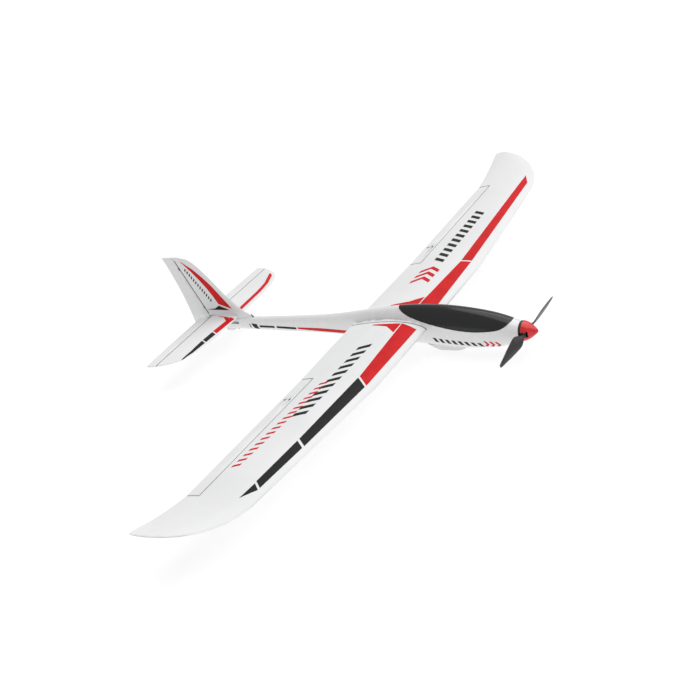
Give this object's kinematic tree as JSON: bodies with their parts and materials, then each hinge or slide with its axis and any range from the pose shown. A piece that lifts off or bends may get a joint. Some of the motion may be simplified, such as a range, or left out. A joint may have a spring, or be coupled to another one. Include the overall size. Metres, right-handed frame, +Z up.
{
  "type": "radio-controlled motor glider",
  "caption": "Motor glider with long slender foam wings and upturned tips, folding nose propeller, lift-off black canopy, hinged ailerons, elevator and rudder.",
  "frame": {"origin": "under the middle of the length and span, on the flat sole of the belly skid", "axes": "+X to the nose, +Y to the left wing tip, +Z up"},
  "size_m": [0.967, 1.6, 0.2345],
  "materials": {
    "white_shell": "smooth blow-moulded white plastic",
    "white_foam": "moulded bead foam, satin",
    "black_gloss": "glossy black moulding",
    "black_plastic": "satin black moulding",
    "red_plastic": "glossy red moulding",
    "black_nylon": "satin glass-filled nylon",
    "white_nylon": "plain nylon",
    "carbon": "woven carbon tube, clear coat",
    "steel": "bright steel",
    "nickel": "nickel plate",
    "aluminium": "machined aluminium",
    "black_steel": "black oxide",
    "plywood": "birch plywood",
    "servo_blue": "translucent-look blue case",
    "pack_wrap": "shrink wrap",
    "controller_wrap": "shrink wrap",
    "webbing": "woven nylon hook strap",
    "receiver_case": "moulded case"
  },
  "bodies": {
    "airframe": {"fuselage_shell": "white_shell", "hatch_magnets": "nickel", "belly_skid": "white_shell", "tail_skid": "white_shell", "motor_mount": "black_nylon", "motor_stator": "aluminium", "motor_screws": "steel", "speed_controller": "controller_wrap", "battery": "pack_wrap", "receiver": "receiver_case", "battery_tray": "plywood", "battery_strap": "webbing", "aileron_servo_left": "servo_blue", "aileron_servo_right": "servo_blue", "wing_left": "white_foam", "wing_right": "white_foam", "wing_root_rib_left": "black_plastic", "wing_root_rib_right": "black_plastic", "wing_joiner": "carbon", "wing_pegs": "carbon", "wing_bolts": "black_steel", "horizontal_stabiliser": "white_foam", "fin": "white_foam", "rudder_hinges": "black_nylon", "tail_bolts": "black_steel", "elevator_servo": "servo_blue", "rudder_servo": "servo_blue", "servo_tray": "plywood"},
    "canopy": {"canopy": "black_gloss", "canopy_magnets": "nickel"},
    "propeller": {"motor_rotor": "aluminium", "spinner": "red_plastic", "spinner_backplate": "black_nylon", "prop_hub": "black_nylon", "prop_nut": "steel", "blade_pins": "steel"},
    "blade_left": {"blade_left": "black_nylon"},
    "blade_right": {"blade_right": "black_nylon"},
    "aileron_left": {"aileron_left": "white_foam", "aileron_horn_left": "black_nylon"},
    "aileron_arm_left": {"aileron_arm_left": "white_nylon"},
    "aileron_pushrod_left": {"aileron_pushrod_left": "steel"},
    "aileron_right": {"aileron_right": "white_foam", "aileron_horn_right": "black_nylon"},
    "aileron_arm_right": {"aileron_arm_right": "white_nylon"},
    "aileron_pushrod_right": {"aileron_pushrod_right": "steel"},
    "elevator": {"elevator_left": "white_foam", "elevator_right": "white_foam", "elevator_joiner": "steel", "elevator_horn": "black_nylon"},
    "elevator_arm": {"elevator_arm": "white_nylon"},
    "elevator_pushrod": {"elevator_pushrod": "steel"},
    "rudder": {"rudder": "white_foam", "rudder_horn": "black_nylon", "rudder_hinge_pins": "steel"},
    "rudder_arm": {"rudder_arm": "white_nylon"},
    "rudder_pushrod": {"rudder_pushrod": "steel"}
  },
  "joints": [
    {"name": "propeller_spin", "type": "hinge", "parent": "airframe", "child": "propeller", "pos_m": [0.4835, 0, 0.05], "axis": [1, 0, 0], "continuous": true},
    {"name": "blade_left_fold", "type": "hinge", "parent": "propeller", "child": "blade_left", "pos_m": [0.4595, 0.017, 0.05], "axis": [0, 0, 1], "range_deg": [0, 40]},
    {"name": "blade_right_fold", "type": "hinge", "parent": "propeller", "child": "blade_right", "pos_m": [0.4595, -0.017, 0.05], "axis": [0, 0, -1], "range_deg": [0, 40]},
    {"name": "aileron_left_hinge", "type": "hinge", "parent": "airframe", "child": "aileron_left", "pos_m": [0.0785, 0.249, 0.07179], "axis": [0, 0.9998, 0.0206], "range_deg": [-25, 25]},
    {"name": "aileron_right_hinge", "type": "hinge", "parent": "airframe", "child": "aileron_right", "pos_m": [0.0785, -0.249, 0.07179], "axis": [0, 0.9998, -0.0206], "range_deg": [-25, 25]},
    {"name": "aileron_arm_left_turn", "type": "hinge", "parent": "airframe", "child": "aileron_arm_left", "pos_m": [0.1385, 0.327, 0.0734], "axis": [0, 1, 0], "range_deg": [-25, 25]},
    {"name": "aileron_pushrod_left_eye", "type": "hinge", "parent": "aileron_arm_left", "child": "aileron_pushrod_left", "pos_m": [0.1385, 0.327, 0.0574], "axis": [0, 1, 0], "range_deg": [-25, 25]},
    {"name": "aileron_arm_right_turn", "type": "hinge", "parent": "airframe", "child": "aileron_arm_right", "pos_m": [0.1385, -0.327, 0.0734], "axis": [0, 1, 0], "range_deg": [-25, 25]},
    {"name": "aileron_pushrod_right_eye", "type": "hinge", "parent": "aileron_arm_right", "child": "aileron_pushrod_right", "pos_m": [0.1385, -0.327, 0.0574], "axis": [0, 1, 0], "range_deg": [-25, 25]},
    {"name": "elevator_hinge", "type": "hinge", "parent": "airframe", "child": "elevator", "pos_m": [-0.388, 0, 0.073], "axis": [0, 1, 0], "range_deg": [-25, 25]},
    {"name": "elevator_arm_turn", "type": "hinge", "parent": "airframe", "child": "elevator_arm", "pos_m": [0.1215, 0.012, 0.073], "axis": [0, 1, 0], "range_deg": [-25, 25]},
    {"name": "elevator_pushrod_eye", "type": "hinge", "parent": "elevator_arm", "child": "elevator_pushrod", "pos_m": [0.1215, 0.012, 0.059], "axis": [0, 1, 0], "range_deg": [-25, 25]},
    {"name": "rudder_hinge", "type": "hinge", "parent": "airframe", "child": "rudder", "pos_m": [-0.387, 0, 0.038], "axis": [-0.3024, 0, 0.9532], "range_deg": [-28, 28]},
    {"name": "rudder_arm_turn", "type": "hinge", "parent": "airframe", "child": "rudder_arm", "pos_m": [0.1215, 0.002, 0.0606], "axis": [0, 0, 1], "range_deg": [-28, 28]},
    {"name": "rudder_pushrod_eye", "type": "hinge", "parent": "rudder_arm", "child": "rudder_pushrod", "pos_m": [0.1215, -0.012, 0.0606], "axis": [0, 0, 1], "range_deg": [-28, 28]},
    {"name": "canopy_lift", "type": "slide", "parent": "airframe", "child": "canopy", "axis": [0, 0, 1], "range_m": [0, 0.09]}
  ],
  "couplings": [
    {"joint": "aileron_right_hinge", "follows": "aileron_left_hinge", "ratio": -1},
    {"joint": "aileron_arm_left_turn", "follows": "aileron_left_hinge", "ratio": 1},
    {"joint": "aileron_pushrod_left_eye", "follows": "aileron_left_hinge", "ratio": -1},
    {"joint": "aileron_arm_right_turn", "follows": "aileron_left_hinge", "ratio": -1},
    {"joint": "aileron_pushrod_right_eye", "follows": "aileron_left_hinge", "ratio": 1},
    {"joint": "elevator_arm_turn", "follows": "elevator_hinge", "ratio": 1},
    {"joint": "elevator_pushrod_eye", "follows": "elevator_hinge", "ratio": -1},
    {"joint": "rudder_arm_turn", "follows": "rudder_hinge", "ratio": 1},
    {"joint": "rudder_pushrod_eye", "follows": "rudder_hinge", "ratio": -1}
  ]
}
